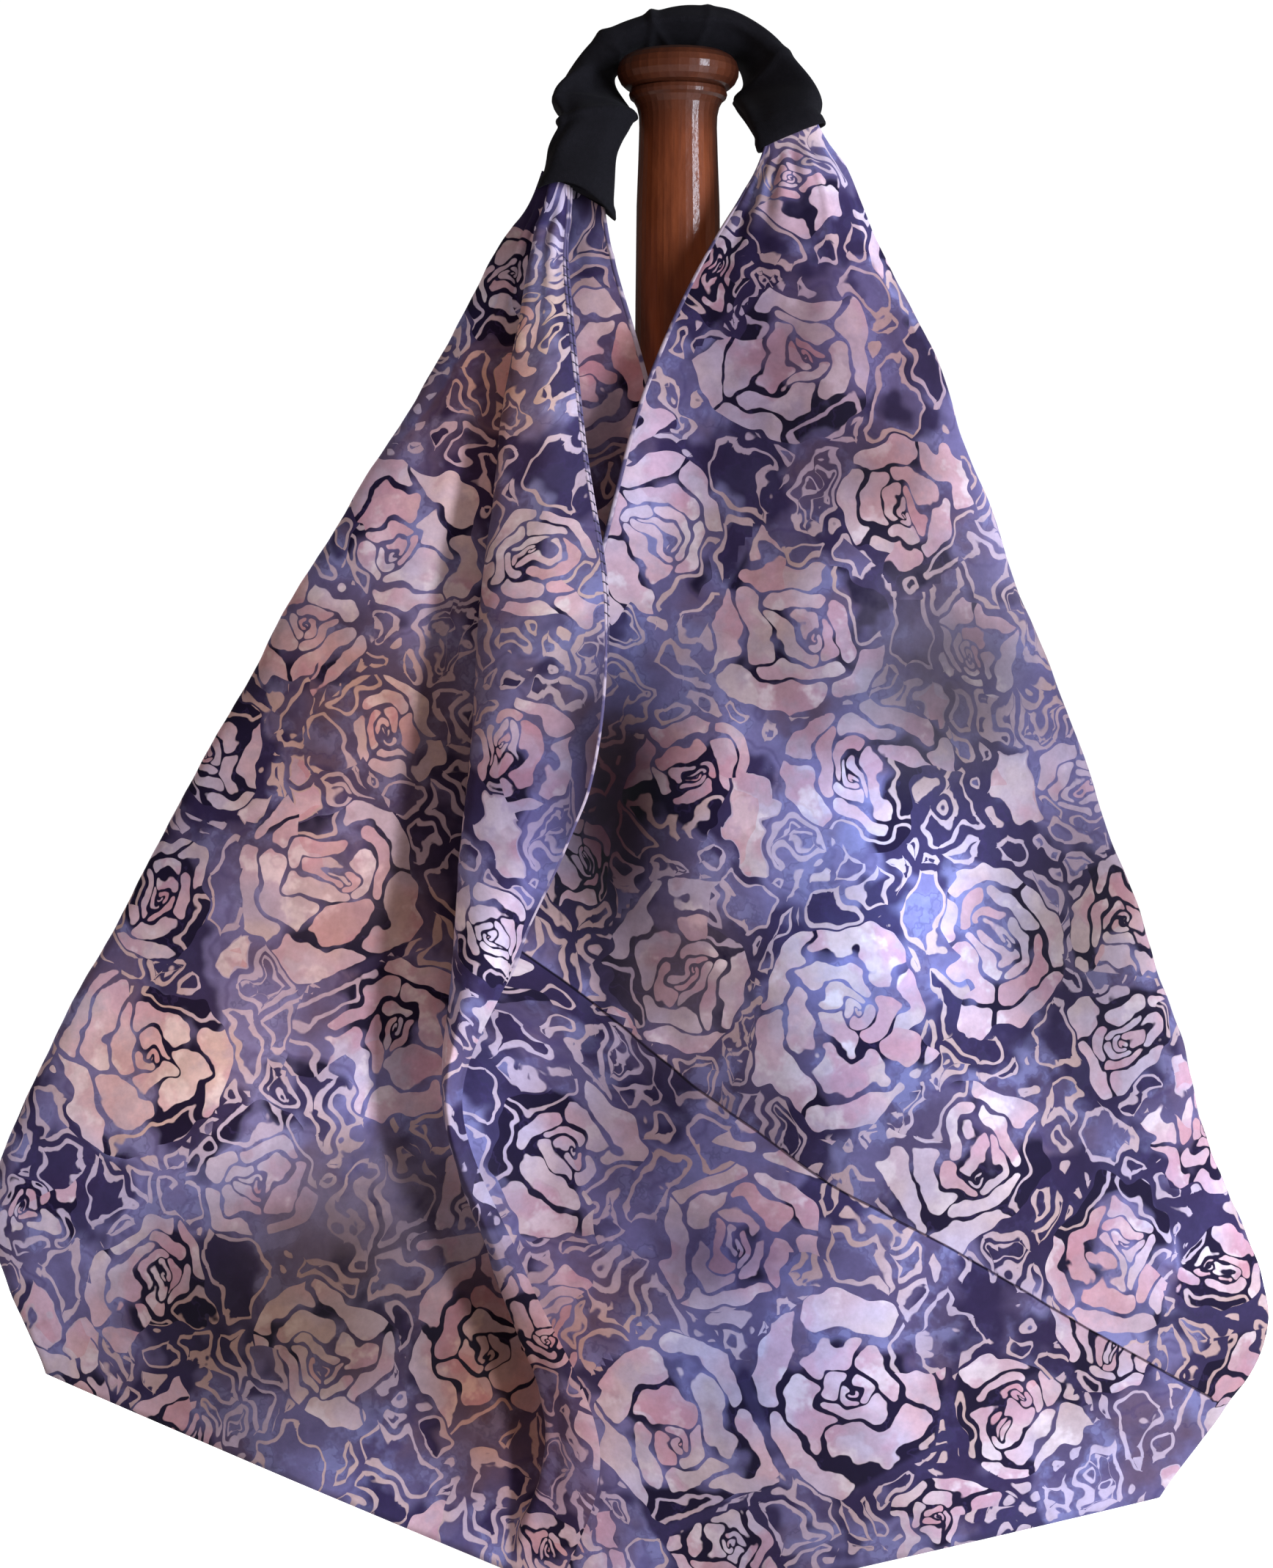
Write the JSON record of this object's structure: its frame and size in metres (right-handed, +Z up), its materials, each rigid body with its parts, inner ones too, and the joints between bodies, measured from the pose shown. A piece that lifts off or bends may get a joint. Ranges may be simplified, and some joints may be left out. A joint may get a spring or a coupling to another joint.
{
  "type": "origami bag hung on a turned post stand",
  "caption": "Soft origami-style cloth bag with a pleated front fold and a short black tube strap, hung over the cap of a turned wooden post on a round foot.",
  "frame": {"origin": "centre of the round foot's underside, which is on the post's axis", "axes": "+Z up along the post, +X to the viewer's right along the bag's front, +Y away from the viewer; the bag hangs on the -Y side of the post"},
  "size_m": [0.647, 0.26, 0.8768],
  "materials": {
    "batik_cotton": "matte printed cotton in lilac, dusty pink and deep violet",
    "black_cotton": "matte black plain weave",
    "varnished_wood": "glossy red-brown varnish"
  },
  "bodies": {
    "root": {"bag": "batik_cotton", "strap": "black_cotton", "post": "varnished_wood", "foot": "varnished_wood"}
  },
  "joints": []
}
